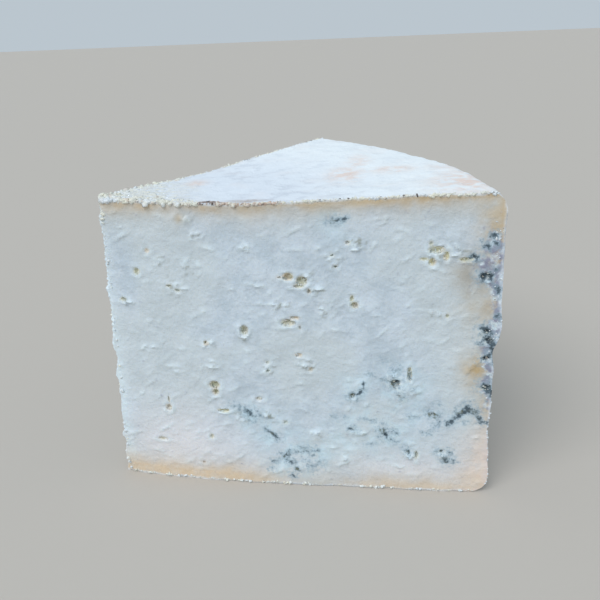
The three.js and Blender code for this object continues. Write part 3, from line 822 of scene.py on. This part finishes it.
class Nodes:
    """Adds nodes to one tree and links them by name."""

    def __init__(self, tree):
        self.tree = tree

    def add(self, kind, **settings):
        node = self.tree.nodes.new(kind)
        for key, value in settings.items():
            setattr(node, key, value)
        return node

    def feed(self, socket, value):
        if isinstance(value, bpy.types.NodeSocket):
            self.tree.links.new(value, socket)
        else:
            socket.default_value = value

    def math(self, operation, *values):
        node = self.add("ShaderNodeMath", operation=operation)
        for socket, value in zip(node.inputs, values):
            self.feed(socket, value)
        return node.outputs[0]

    def times(self, a, b):
        return self.math("MULTIPLY", a, b)

    def waver(self, value, cloud, amount):
        """A value that a cloud, from 0 to 1, moves up and down by half the amount."""
        return self.math("ADD", value, self.times(self.math("SUBTRACT", cloud, 0.5), amount))

    def mix(self, share, a, b):
        node = self.add("ShaderNodeMix", data_type="RGBA", blend_type="MIX")
        self.feed(node.inputs["Factor"], share)
        self.feed(node.inputs[6], a)
        self.feed(node.inputs[7], b)
        return node.outputs[2]

    def lay(self, colour, tint, mask, share):
        """A colour with a tint laid on it where a mask is, as strongly as share."""
        return self.mix(self.times(self.mask(mask), share), colour, tint)

    def ramp(self, value, low, high, to_low=0.0, to_high=1.0):
        node = self.add("ShaderNodeMapRange", interpolation_type="SMOOTHSTEP")
        given = {"Value": value, "From Min": low, "From Max": high, "To Min": to_low, "To Max": to_high}
        for name, number in given.items():
            self.feed(node.inputs[name], number)
        return node.outputs[0]

    def place(self):
        return self.add("ShaderNodeTexCoord").outputs["Object"]

    def cloud(self, place, size, detail=2.0, roughness=0.5):
        """Noise from 0 to 1 with features of about size, in millimetres. In a group, size is a socket."""
        linked = isinstance(size, bpy.types.NodeSocket)
        scale = self.math("DIVIDE", 1 / MM, size) if linked else 1 / (size * MM)
        node = self.add("ShaderNodeTexNoise")
        given = {"Vector": place, "Scale": scale, "Detail": detail, "Roughness": roughness}
        for name, value in given.items():
            self.feed(node.inputs[name], value)
        return node.outputs["Fac"]

    def mask(self, name):
        return self.add("ShaderNodeAttribute", attribute_name=name).outputs["Fac"]

    def group(self, tree, **values):
        node = self.add("ShaderNodeGroup", node_tree=tree)
        for name, value in values.items():
            self.feed(node.inputs[name.replace("_", " ")], value)
        return node

    def surface(self, colour, roughness, height, bump, **constants):
        """The material's own shader, with a bump of the height, in millimetres, and its output."""
        relief = self.add("ShaderNodeBump")
        relief.inputs["Strength"].default_value = bump
        relief.inputs["Distance"].default_value = MM
        self.feed(relief.inputs["Height"], height)
        shader = self.add("ShaderNodeBsdfPrincipled")
        self.feed(shader.inputs["Base Color"], colour)
        self.feed(shader.inputs["Roughness"], roughness)
        self.feed(shader.inputs["Normal"], relief.outputs["Normal"])
        for name, value in constants.items():
            shader.inputs[name.replace("_", " ")].default_value = value
        output = self.add("ShaderNodeOutputMaterial")
        self.feed(output.inputs["Surface"], shader.outputs[0])


def new_group(name, inputs, outputs):
    """A shader node group with named sockets. inputs and outputs are (name, kind, default)."""
    tree = bpy.data.node_groups.new(name, "ShaderNodeTree")
    for label, kind, default in inputs:
        socket = tree.interface.new_socket(label, in_out="INPUT", socket_type=f"NodeSocket{kind}")
        socket.default_value = default
    for label, kind in outputs:
        tree.interface.new_socket(label, in_out="OUTPUT", socket_type=f"NodeSocket{kind}")
    nodes = Nodes(tree)
    return nodes, nodes.add("NodeGroupInput").outputs, nodes.add("NodeGroupOutput").inputs, tree


def curd_grain_group():
    """Fine crumbly grain: a height, and a mottle from 0 to 1 for the colour."""
    n, given, out, tree = new_group(
        "curd grain",
        [("Grain size", "Float", 1.0), ("Coarse size", "Float", 7.0)],
        [("Height", "Float"), ("Mottle", "Float")],
    )
    fine = n.cloud(n.place(), given["Grain size"], 4, 0.6)
    coarse = n.cloud(n.place(), given["Coarse size"], 3)
    n.feed(out["Height"], fine)
    n.feed(out["Mottle"], n.math("ADD", n.times(fine, 0.35), n.times(coarse, 0.65)))
    return tree


def mould_group():
    """Breaks a soft mask of mould into specks and threads, with a dark heart and a pale soft edge."""
    n, given, out, tree = new_group(
        "mould specks",
        [("Mask", "Float", 0.0), ("Speck size", "Float", 1.1)],
        [("Dark", "Float"), ("Pale", "Float")],
    )
    speck = n.cloud(n.place(), given["Speck size"], 5, 0.68)
    level = n.waver(given["Mask"], speck, 2.3)
    there = n.ramp(given["Mask"], 0.02, 0.2)
    n.feed(out["Dark"], n.times(n.ramp(level, 0.45, 1.05), there))
    n.feed(out["Pale"], n.times(n.ramp(level, 0.0, 0.7), there))
    return tree


# ---------------------------------------------------------------- finishes
PASTE_WHITE = (0.690, 0.775, 0.850, 1)
PASTE_SHADE = (0.600, 0.690, 0.765, 1)
PASTE_CREAM = (0.690, 0.755, 0.775, 1)
# PASTE_PALE_AND_LIT: partly the paste's own paler pink, partly painted light low on the cuts
PASTE_PALE_AND_LIT = (0.880, 0.870, 0.905, 1)
BEIGE = (0.655, 0.550, 0.415, 1)
# BASE_IVORY_AND_BOUNCE: partly the paste's ivory near the base, partly painted warm bounce light from below
BASE_IVORY_AND_BOUNCE = (0.790, 0.635, 0.460, 1)
BASE_ROSE = (0.900, 0.780, 0.700, 1)
DUSK = (0.400, 0.390, 0.360, 1)
# NICK_SHADE is painted shade: dark specks for the shadows of tiny torn pits that the mesh doesn't have
NICK_SHADE = (0.330, 0.350, 0.300, 1)
TAN = (0.615, 0.470, 0.275, 1)
OCHRE = (0.820, 0.760, 0.490, 1)
TAN_LINING = (0.870, 0.730, 0.540, 1)
OLIVE = (0.500, 0.430, 0.240, 1)
MOULD_DARK = (0.070, 0.105, 0.130, 1)
MOULD_OLIVE = (0.170, 0.180, 0.110, 1)
MOULD_PALE = (0.380, 0.510, 0.600, 1)
HAZE_BLUE = (0.670, 0.870, 0.970, 1)
BLOOM_LILAC = (0.320, 0.325, 0.425, 1)
# FLAKE_WHITE_AND_HIGHLIGHT: the white of torn curd and of the bloom, and on the flake mask partly a painted
# highlight
FLAKE_WHITE_AND_HIGHLIGHT = (0.800, 0.915, 0.970, 1)
RIND_WHITE = (0.795, 0.860, 0.935, 1)
RIND_POWDER = (0.895, 0.955, 0.985, 1)
# RIND_GREY_AND_SHADE: partly the rind's own grey, partly painted shade in the wrinkles and on broad bands of
# the top
RIND_GREY_AND_SHADE = (0.600, 0.650, 0.730, 1)
RIND_BLUSH = (0.855, 0.690, 0.610, 1)
RIND_CREAM = (0.870, 0.870, 0.780, 1)
RIND_BROWN = (0.330, 0.215, 0.150, 1)
CRUMB_WHITE = (0.860, 0.910, 0.940, 1)
CRUMB_CREAM = (0.890, 0.880, 0.760, 1)
CRUMB_TAN = (0.700, 0.540, 0.440, 1)
CRUMB_BROWN = (0.100, 0.070, 0.055, 1)


def paste_material(grain, specks):
    material = new_material("blue_cheese_paste")
    n = Nodes(material.node_tree)
    place = n.place()
    curd = n.group(grain, Grain_size=1.4, Coarse_size=9.0).outputs
    patchy, fine = n.cloud(place, 5, 3), n.cloud(place, 2.2, 4, 0.6)
    soft = n.ramp(patchy, 0.25, 0.65, 0.65, 1.0)
    colour = n.mix(n.ramp(curd["Mottle"], 0.42, 0.58), PASTE_SHADE, PASTE_WHITE)
    colour = n.mix(n.times(n.ramp(n.cloud(place, 34), 0.42, 0.6), 0.6), colour, PASTE_CREAM)
    for mask, tint, share in (
        # The flake mask is partly painted highlight on the raised flakes, lips and curds and on the tip's
        # thin edge
        # The pale mask is partly painted light that brightens the low part of the cuts
        ("pale", PASTE_PALE_AND_LIT, 0.8), ("flake", FLAKE_WHITE_AND_HIGHLIGHT, n.ramp(fine, 0.35, 0.6, 0.35, 0.9)),
        # above_base_and_bounce lays the ivory at the base, partly painted warm bounce light
        ("under_rind", BEIGE, soft), ("low_corner", BASE_ROSE, soft), ("above_base_and_bounce", BASE_IVORY_AND_BOUNCE, soft),
        ("stain", TAN, n.ramp(patchy, 0.3, 0.6, 0.4, 1.0)),
        ("dusk", DUSK, n.ramp(patchy, 0.3, 0.6, 0.4, 0.9)),
        ("tan_line", TAN, n.ramp(patchy, 0.3, 0.6, 0.4, 0.75)),
        ("haze", HAZE_BLUE, n.ramp(patchy, 0.35, 0.65, 0.15, 0.95)),
    ):
        colour = n.lay(colour, tint, mask, share)
    bloom = n.ramp(n.waver(n.mask("bloom"), fine, 1.6), 0.15, 0.7)
    lilac = n.mix(n.ramp(n.cloud(place, 3.2, 4, 0.55), 0.44, 0.66), BLOOM_LILAC, FLAKE_WHITE_AND_HIGHLIGHT)
    colour = n.mix(bloom, colour, lilac)
    edging = n.lay(RIND_WHITE, RIND_BLUSH, "low_corner", 0.8)
    colour = n.lay(colour, edging, "rim", 0.75)
    tinted = n.mix(n.ramp(n.cloud(place, 12), 0.45, 0.55), OCHRE, TAN_LINING)
    colour = n.lay(colour, tinted, "lining", n.ramp(fine, 0.3, 0.6, 0.7, 1.0))
    # Painted shade: dark nicks in the ruffled places, for the shadows of tiny torn pits
    colour = n.lay(colour, NICK_SHADE, "nick_shade", n.ramp(fine, 0.35, 0.55, 0.4, 0.95))
    gloom = n.times(n.ramp(n.waver(n.mask("depth"), fine, 2.2), 1.0, 2.8), n.mask("gloom"))
    colour = n.mix(n.times(gloom, n.ramp(n.mask("depth"), 0.2, 0.8)), colour, OLIVE)
    specked = n.times(n.ramp(n.cloud(place, 2.4, 3, 0.6), 0.62, 0.72), n.mask("haze"))
    veined = n.math("MAXIMUM", n.mask("mould"), n.times(specked, 0.5))
    mould = n.group(specks, Mask=veined, Speck_size=1.35).outputs
    colour = n.mix(n.times(mould["Pale"], 0.75), colour, MOULD_PALE)
    olive = n.times(n.ramp(n.cloud(place, 8), 0.5, 0.6), n.ramp(n.mask("haze"), 0.05, 0.3))
    colour = n.mix(n.times(mould["Dark"], 0.95), colour, n.mix(olive, MOULD_DARK, MOULD_OLIVE))
    height = n.math("ADD", n.times(curd["Height"], 0.35), n.times(fine, 0.4))
    roughness = n.ramp(curd["Mottle"], 0.35, 0.65, 0.5, 0.66)
    n.surface(colour, roughness, height, bump=0.8, Specular_IOR_Level=0.3, Subsurface_Weight=0.12,
              Subsurface_Radius=(1.0, 0.85, 0.7), Subsurface_Scale=0.0015)
    return material


def rind_material(grain, specks):
    material = new_material("blue_cheese_rind")
    n = Nodes(material.node_tree)
    place, top = n.place(), n.mask("top")
    dust = n.group(grain, Grain_size=1.6, Coarse_size=11.0).outputs

    def cover(cloud, low, high, on_side, on_top):
        """Patches that cover the side and the top with different strengths."""
        return n.times(n.ramp(cloud, low, high), n.ramp(top, 0, 1, on_side, on_top))

    colour = n.mix(n.mask("powder"), RIND_WHITE, RIND_POWDER)
    # Grey in the wrinkles, strongest towards the middle of the top: partly the rind's own grey, partly
    # painted shade in the sunken wrinkles and on broad bands of the top
    wrinkle = n.ramp(n.cloud(place, 6.5, 5, 0.58), 0.47, 0.64)
    powder = n.ramp(n.mask("powder"), 0, 1, 1, 0.35)
    grey_drift_and_shade = n.times(n.ramp(n.cloud(place, 26, 3), 0.4, 0.62, 0.1, 0.55), powder)
    colour = n.mix(n.times(wrinkle, grey_drift_and_shade), colour, RIND_GREY_AND_SHADE)
    colour = n.mix(cover(n.cloud(place, 10, 4, 0.6), 0.4, 0.62, 0.38, 0), colour, BLOOM_LILAC)
    patchy = n.cloud(place, 7, 4, 0.6)
    worn = cover(n.cloud(place, 16, 4, 0.6), 0.5, 0.68, 0.5, 0.12)
    blush = n.math("MAXIMUM", n.times(n.mask("blush"), n.ramp(patchy, 0.36, 0.56, 0.15, 1.0)), worn)
    colour = n.mix(n.times(blush, 0.95), colour, RIND_BLUSH)
    crust = n.times(n.mask("crust"), n.ramp(n.cloud(place, 2.2, 4, 0.6), 0.4, 0.6, 0.2, 1.0))
    colour = n.mix(crust, colour, RIND_CREAM)
    colour = n.mix(cover(patchy, 0.56, 0.72, 0.6, 0.03), colour, RIND_BROWN)
    colour = n.mix(n.ramp(n.mask("scorch"), 0.1, 0.6, 0, 0.9), colour, RIND_BROWN)
    colour = n.mix(n.ramp(n.mask("scorch"), 0.6, 0.95, 0, 0.9), colour, CRUMB_BROWN)
    colour = n.mix(n.times(n.ramp(dust["Height"], 0.45, 0.62), 0.35), colour, RIND_WHITE)
    spots = cover(n.cloud(place, 14, 3), 0.48, 0.68, 0.8, 0.1)
    mould = n.group(specks, Mask=spots, Speck_size=1.7).outputs
    colour = n.mix(n.times(mould["Pale"], 0.5), colour, MOULD_PALE)
    colour = n.mix(n.times(mould["Dark"], 0.7), colour, MOULD_DARK)
    height = n.math("ADD", n.times(dust["Height"], 0.5), n.times(wrinkle, -0.25))
    height = n.math("ADD", height, n.times(crust, 0.7))
    n.surface(colour, roughness=0.85, height=height, bump=0.7, Specular_IOR_Level=0.2)
    return material


def crumb_material(grain):
    """Crumbs of curd and rind. Each has a tone: -0.3 is white, 0 cream, 0.5 tan and 1 brown."""
    material = new_material("cheese_crumb")
    n = Nodes(material.node_tree)
    place = n.place()
    curd = n.group(grain, Grain_size=0.8, Coarse_size=4.0).outputs
    tone = n.waver(n.mask("tone"), n.cloud(place, 1.6, 3), 0.3)
    cream = n.times(n.ramp(n.cloud(place, 6), 0.38, 0.55), n.ramp(n.mask("tone"), -0.3, 0))
    colour = n.mix(cream, CRUMB_WHITE, CRUMB_CREAM)
    colour = n.mix(n.ramp(tone, 0.12, 0.5), colour, CRUMB_TAN)
    colour = n.mix(n.ramp(tone, 0.5, 0.95), colour, CRUMB_BROWN)
    colour = n.mix(n.times(n.ramp(curd["Mottle"], 0.4, 0.6), 0.2), colour, PASTE_SHADE)
    n.surface(colour, roughness=0.75, height=curd["Height"], bump=0.5, Specular_IOR_Level=0.25)
    return material


# ---------------------------------------------------------------- pieces
def to_frame(mesh):
    """Brings a mesh from millimetres at the tip to metres in the frame."""
    places = coordinates(mesh)
    move_vertices(mesh, (places + np.array(AXIS)) * MM)


def make_wedge(paste, rind):
    wedge = make_wheel(rind)
    wedge.name = "wedge"
    cut_with(wedge, make_cut_block(1, FIRST_CUT_CELL, paste), "INTERSECT")
    cut_with(wedge, make_cut_block(-1, SECOND_CUT_CELL, paste), "INTERSECT")
    cut_with(wedge, make_tip_block(paste), "INTERSECT")
    holder = make_openings(paste)
    cut_with(wedge, holder, "DIFFERENCE")
    bpy.data.collections.remove(holder)
    wedge.data.name = "wedge"
    keep_largest(wedge)
    paint_masks(wedge.data, coordinates(wedge.data))
    wedge.data.shade_smooth()
    sharpen(wedge)
    return wedge


def sharpen(piece):
    """Keeps the wedge's own edges crisp, and leaves the mouths of the openings rounded."""
    bm = bmesh.new()
    bm.from_mesh(piece.data)
    depth = bm.verts.layers.float["depth"]
    for edge in bm.edges:
        opens = any(corner[depth] > 0.3 for face in edge.link_faces for corner in face.verts)
        edge.smooth = opens or edge.calc_face_angle(0) < SHARP_ANGLE
    bm.to_mesh(piece.data)
    bm.free()


def keep_largest(piece):
    """Drops scraps that the cuts have left loose."""
    bm = bmesh.new()
    bm.from_mesh(piece.data)
    bmesh.ops.remove_doubles(bm, verts=bm.verts, dist=CUT_SEAM)
    bmesh.ops.dissolve_degenerate(bm, edges=bm.edges, dist=SLIVER)
    left = set(bm.verts)
    islands = []
    while left:
        island, front = set(), [left.pop()]
        while front:
            corner = front.pop()
            island.add(corner)
            for edge in corner.link_edges:
                other = edge.other_vert(corner)
                if other in left:
                    left.remove(other)
                    front.append(other)
        islands.append(island)
    islands.sort(key=len)
    loose = [corner for island in islands[:-1] for corner in island]
    bmesh.ops.delete(bm, geom=loose, context="VERTS")
    bm.to_mesh(piece.data)
    bm.free()


def add_crumb(bm, size, key, draw):
    """Adds one small uneven grain to a bmesh, turned at random, and returns its vertices."""
    fineness = 1 if size < FINE_CRUMB else 2
    fresh = bmesh.ops.create_icosphere(bm, subdivisions=fineness, radius=0.5)["verts"]
    wide, deep, tall = lerp(0.7, 1.3, next(draw)), lerp(0.7, 1.3, next(draw)), lerp(0.5, 0.9, next(draw))
    x, y, z = np.array([corner.co for corner in fresh]).T
    uneven = 1 + 0.55 * noise(3.1 * x + key, 3.1 * y + 1.7 * key, 3.1 * z)
    uneven = uneven + 0.4 * noise(6.3 * x + key, 6.3 * y, 6.3 * z)
    for corner, share in zip(fresh, uneven):
        corner.co = corner.co * Vector((wide, deep, tall)) * size * float(share)
    spin = Matrix.Rotation(6.28 * next(draw), 4, "Z") @ Matrix.Rotation(6.28 * next(draw), 4, "X")
    bmesh.ops.transform(bm, matrix=spin, verts=fresh)
    return fresh


def crumb_mesh(name, spots, material):
    """One mesh of small uneven grains, one for each (place, size, key, tone)."""
    whole = bmesh.new()
    heap = bpy.data.meshes.new("heap")
    draw = sequence(GRAIN_SEED)
    for start in range(0, len(spots), CRUMBS_IN_HEAP):
        few = bmesh.new()
        tones = few.verts.layers.float.new("tone")
        for place, size, key, tone in spots[start:start + CRUMBS_IN_HEAP]:
            for corner in add_crumb(few, size, key, draw):
                corner[tones] = tone
                corner.co = corner.co + place
                corner.co.z = max(corner.co.z, 0)  # nothing sinks below what the wedge stands on
        few.to_mesh(heap)
        few.free()
        whole.from_mesh(heap)
    bpy.data.meshes.remove(heap)
    made = object_from(whole, name, [material])
    made.data.shade_smooth()
    return made


def rest_on(tree, spot, lift):
    """The nearest place on the wedge to a spot on a cut, lifted off its surface or sunk into it."""
    place, normal, _, _ = tree.find_nearest(spot.translation)
    return place + normal * lift


def rim_spots(tree):
    """The crust of crumbs along the top edges of both cuts. Near the tip there are lumps of curd as well."""
    count, seed = RIM_CRUMBS
    draw = sequence(seed)
    for n in range(count):
        lump = n < RIM_LUMPS
        side = 1 if next(draw) < 0.62 else -1
        along = 4.5 + (41 if lump else 133) * next(draw) ** (1.2 if lump else 1.25)
        if n < SCORCHED_LUMPS:
            side, along = 1, lerp(SCORCHED_FROM, SCORCHED_TO, next(draw))
        near_tip = float(1 - smoothstep(along, 20, 60))
        inwards = next(draw) ** 1.8 * lerp(1.2, 7, near_tip) - (0.1 if lump else 0.4)
        size = lerp(0.4, lerp(1.3, 0.95, near_tip), next(draw) ** 2)
        if lump:
            size = lerp(1.0, 2.4, next(draw) ** 1.4) * lerp(0.6, 1, near_tip)
        chance = next(draw)
        tone = 0.95 if near_tip < 0.3 and chance > 0.95 else 0.35 * chance ** 3
        if side > 0 and 46 < along < 69:
            tone = lerp(0.15, 0.7, chance)
        if side > 0 and 40 < along < 46:
            tone, size = lerp(0.5, 1.0, chance ** 0.5), 0.7 * size
        spot = on_cut(side, along, float(top_height(along)), -inwards)
        yield rest_on(tree, spot, -0.28 * size), size, n, tone


def tip_spots(tree):
    """A few curds that cling to the edges of the broken tip."""
    count, seed = TIP_CRUMBS
    draw = sequence(seed)
    for n in range(count):
        up = 1.5 + 108 * next(draw)
        side = 1 if next(draw) < 0.6 else -1
        size = lerp(0.6, 1.4, next(draw) ** 2)
        edge = lerp(TIP_BOTTOM, TIP_TOP, up / WHEEL_HEIGHT) / math.cos(WEDGE_ANGLE / 2)
        spot = on_cut(side, edge + 0.6 * next(draw), up)
        yield rest_on(tree, spot, 0), size, 40 + n, -0.3 + 0.3 * next(draw)


def side_spots(tree):
    """Grains of bloom along the upright edges where the side meets the two cuts."""
    count, seed = SIDE_CRUMBS
    draw = sequence(seed)
    for n in range(count):
        side = 1 if next(draw) < 0.6 else -1
        up = lerp(3, 104, next(draw))
        size = lerp(0.3, 0.9, next(draw) ** 2)
        spread = 4.2 * next(draw) ** 1.6 * float(smoothstep(up, 30, 45))
        spot = on_cut(side, float(side_radius(up)) - spread + 0.3, up)
        dark = up > 36 and next(draw) > 0.88
        size = 0.7 * size if dark else size
        yield rest_on(tree, spot, -0.15 * size), size, 120 + n, 1.0 if dark else -0.3


def base_spots(tree):
    """Crumbs pressed out along the foot of both cuts."""
    count, seed = BASE_CRUMBS
    draw = sequence(seed)
    for n in range(count):
        side = 1 if next(draw) < 0.55 else -1
        along = 3 + 134 * next(draw)
        size = lerp(0.3, 1.4, next(draw) ** 3)
        place = rest_on(tree, on_cut(side, along, 0.3 + 0.8 * next(draw) ** 2), 0.1 * size)
        place.z = max(place.z, 0.45 * size)
        yield place, size, 80 + n, -0.2 + 0.45 * next(draw) ** 2


def curd_spots(tree):
    """Curds left loose in the mouths of the larger openings."""
    draw = sequence(CURD_SEED)
    for side, along, up, wide, tall, key in OPENINGS:
        if wide * tall < SMALLEST_CURDLED_OPENING:
            continue
        for n in range(round(2 + wide * tall / 3)):
            bearing, spread = 2 * math.pi * next(draw), 0.55 * next(draw) ** 0.6
            across, over = wide * spread * math.cos(bearing), tall * spread * math.sin(bearing)
            spot = on_cut(side, along + across, up + over - 0.1 * tall, -lerp(0.2, 1.4, next(draw)))
            size = lerp(0.35, 1.0, next(draw) ** 1.5)
            yield rest_on(tree, spot, 0.05 * size), size, key + n, -0.1 + 0.45 * next(draw) ** 2


# ---------------------------------------------------------------- floor, light and camera
FLOOR_REACH = 14  # in metres
FLOOR_GREY = (0.56, 0.52, 0.47, 1)
SKY = (0.80, 0.91, 1.0, 1)
SKY_STRENGTH = 0.62


def make_floor():
    bm = bmesh.new()
    bmesh.ops.create_grid(bm, x_segments=2, y_segments=2, size=FLOOR_REACH)
    material = new_material("pale_floor")
    n = Nodes(material.node_tree)
    n.surface(FLOOR_GREY, roughness=0.8, height=0.5, bump=0.0, Specular_IOR_Level=0.2)
    floor = object_from(bm, "floor", [material])


def make_light(name, azimuth, elevation, softness, strength, colour):
    """A soft light from far away. Azimuth 0 comes from the front, and 90 from the left."""
    lamp = bpy.data.lights.new(name, "SUN")
    lamp.angle = math.radians(softness)
    lamp.energy = strength
    lamp.color = colour
    holder = bpy.data.objects.new(name, lamp)
    turn, rise = math.radians(azimuth), math.radians(elevation)
    towards = Vector((math.sin(turn) * math.cos(rise), math.cos(turn) * math.cos(rise), -math.sin(rise)))
    holder.rotation_euler = towards.to_track_quat("-Z", "Y").to_euler()
    bpy.context.scene.collection.objects.link(holder)


def make_lights():
    world = bpy.data.worlds.new("studio")
    world.use_nodes = True
    sky = world.node_tree.nodes["Background"].inputs
    sky["Color"].default_value = SKY
    sky["Strength"].default_value = SKY_STRENGTH
    bpy.context.scene.world = world
    make_light("front", azimuth=28, elevation=51, softness=40, strength=1.5, colour=(0.99, 0.99, 1.0))


CAMERA_TARGET = Vector((72.84, 0, 75.38))
CAMERA_DISTANCE = 235.1
CAMERA_AZIMUTH = math.radians(9.52)
CAMERA_ELEVATION = math.radians(21.55)
CAMERA_ROLL = math.radians(-2.44)
LENS = 40.8  # on a sensor 36 mm wide


def make_camera():
    camera = bpy.data.cameras.new("camera")
    camera.lens = LENS
    camera.sensor_width = 36
    camera.clip_start = 0.01
    holder = bpy.data.objects.new("camera", camera)
    forward = Vector((
        -math.sin(CAMERA_AZIMUTH) * math.cos(CAMERA_ELEVATION),
        math.cos(CAMERA_AZIMUTH) * math.cos(CAMERA_ELEVATION),
        -math.sin(CAMERA_ELEVATION),
    ))
    place = (CAMERA_TARGET - forward * CAMERA_DISTANCE + AXIS) * MM
    level = forward.to_track_quat("-Z", "Y").to_matrix().to_4x4()
    holder.matrix_world = Matrix.Translation(place) @ level @ Matrix.Rotation(CAMERA_ROLL, 4, "Z")
    bpy.context.scene.collection.objects.link(holder)
    bpy.context.scene.camera = holder


# ---------------------------------------------------------------- the scene
def build():
    grain, specks = curd_grain_group(), mould_group()
    paste, rind = paste_material(grain, specks), rind_material(grain, specks)
    crumb = crumb_material(grain)

    wedge = make_wedge(paste, rind)
    tree = BVHTree.FromObject(wedge, bpy.context.evaluated_depsgraph_get())
    rules = {"rim_crumbs": rim_spots, "tip_crumbs": tip_spots, "side_crumbs": side_spots,
             "base_crumbs": base_spots, "opening_crumbs": curd_spots}
    crumbs = [crumb_mesh(name, list(rule(tree)), crumb) for name, rule in rules.items()]
    for piece in [wedge, *crumbs]:
        to_frame(piece.data)
        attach(piece, "root")
    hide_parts("cheese_wedge")


build()
make_floor()
make_lights()
make_camera()
bpy.context.scene.view_settings.view_transform = "Standard"
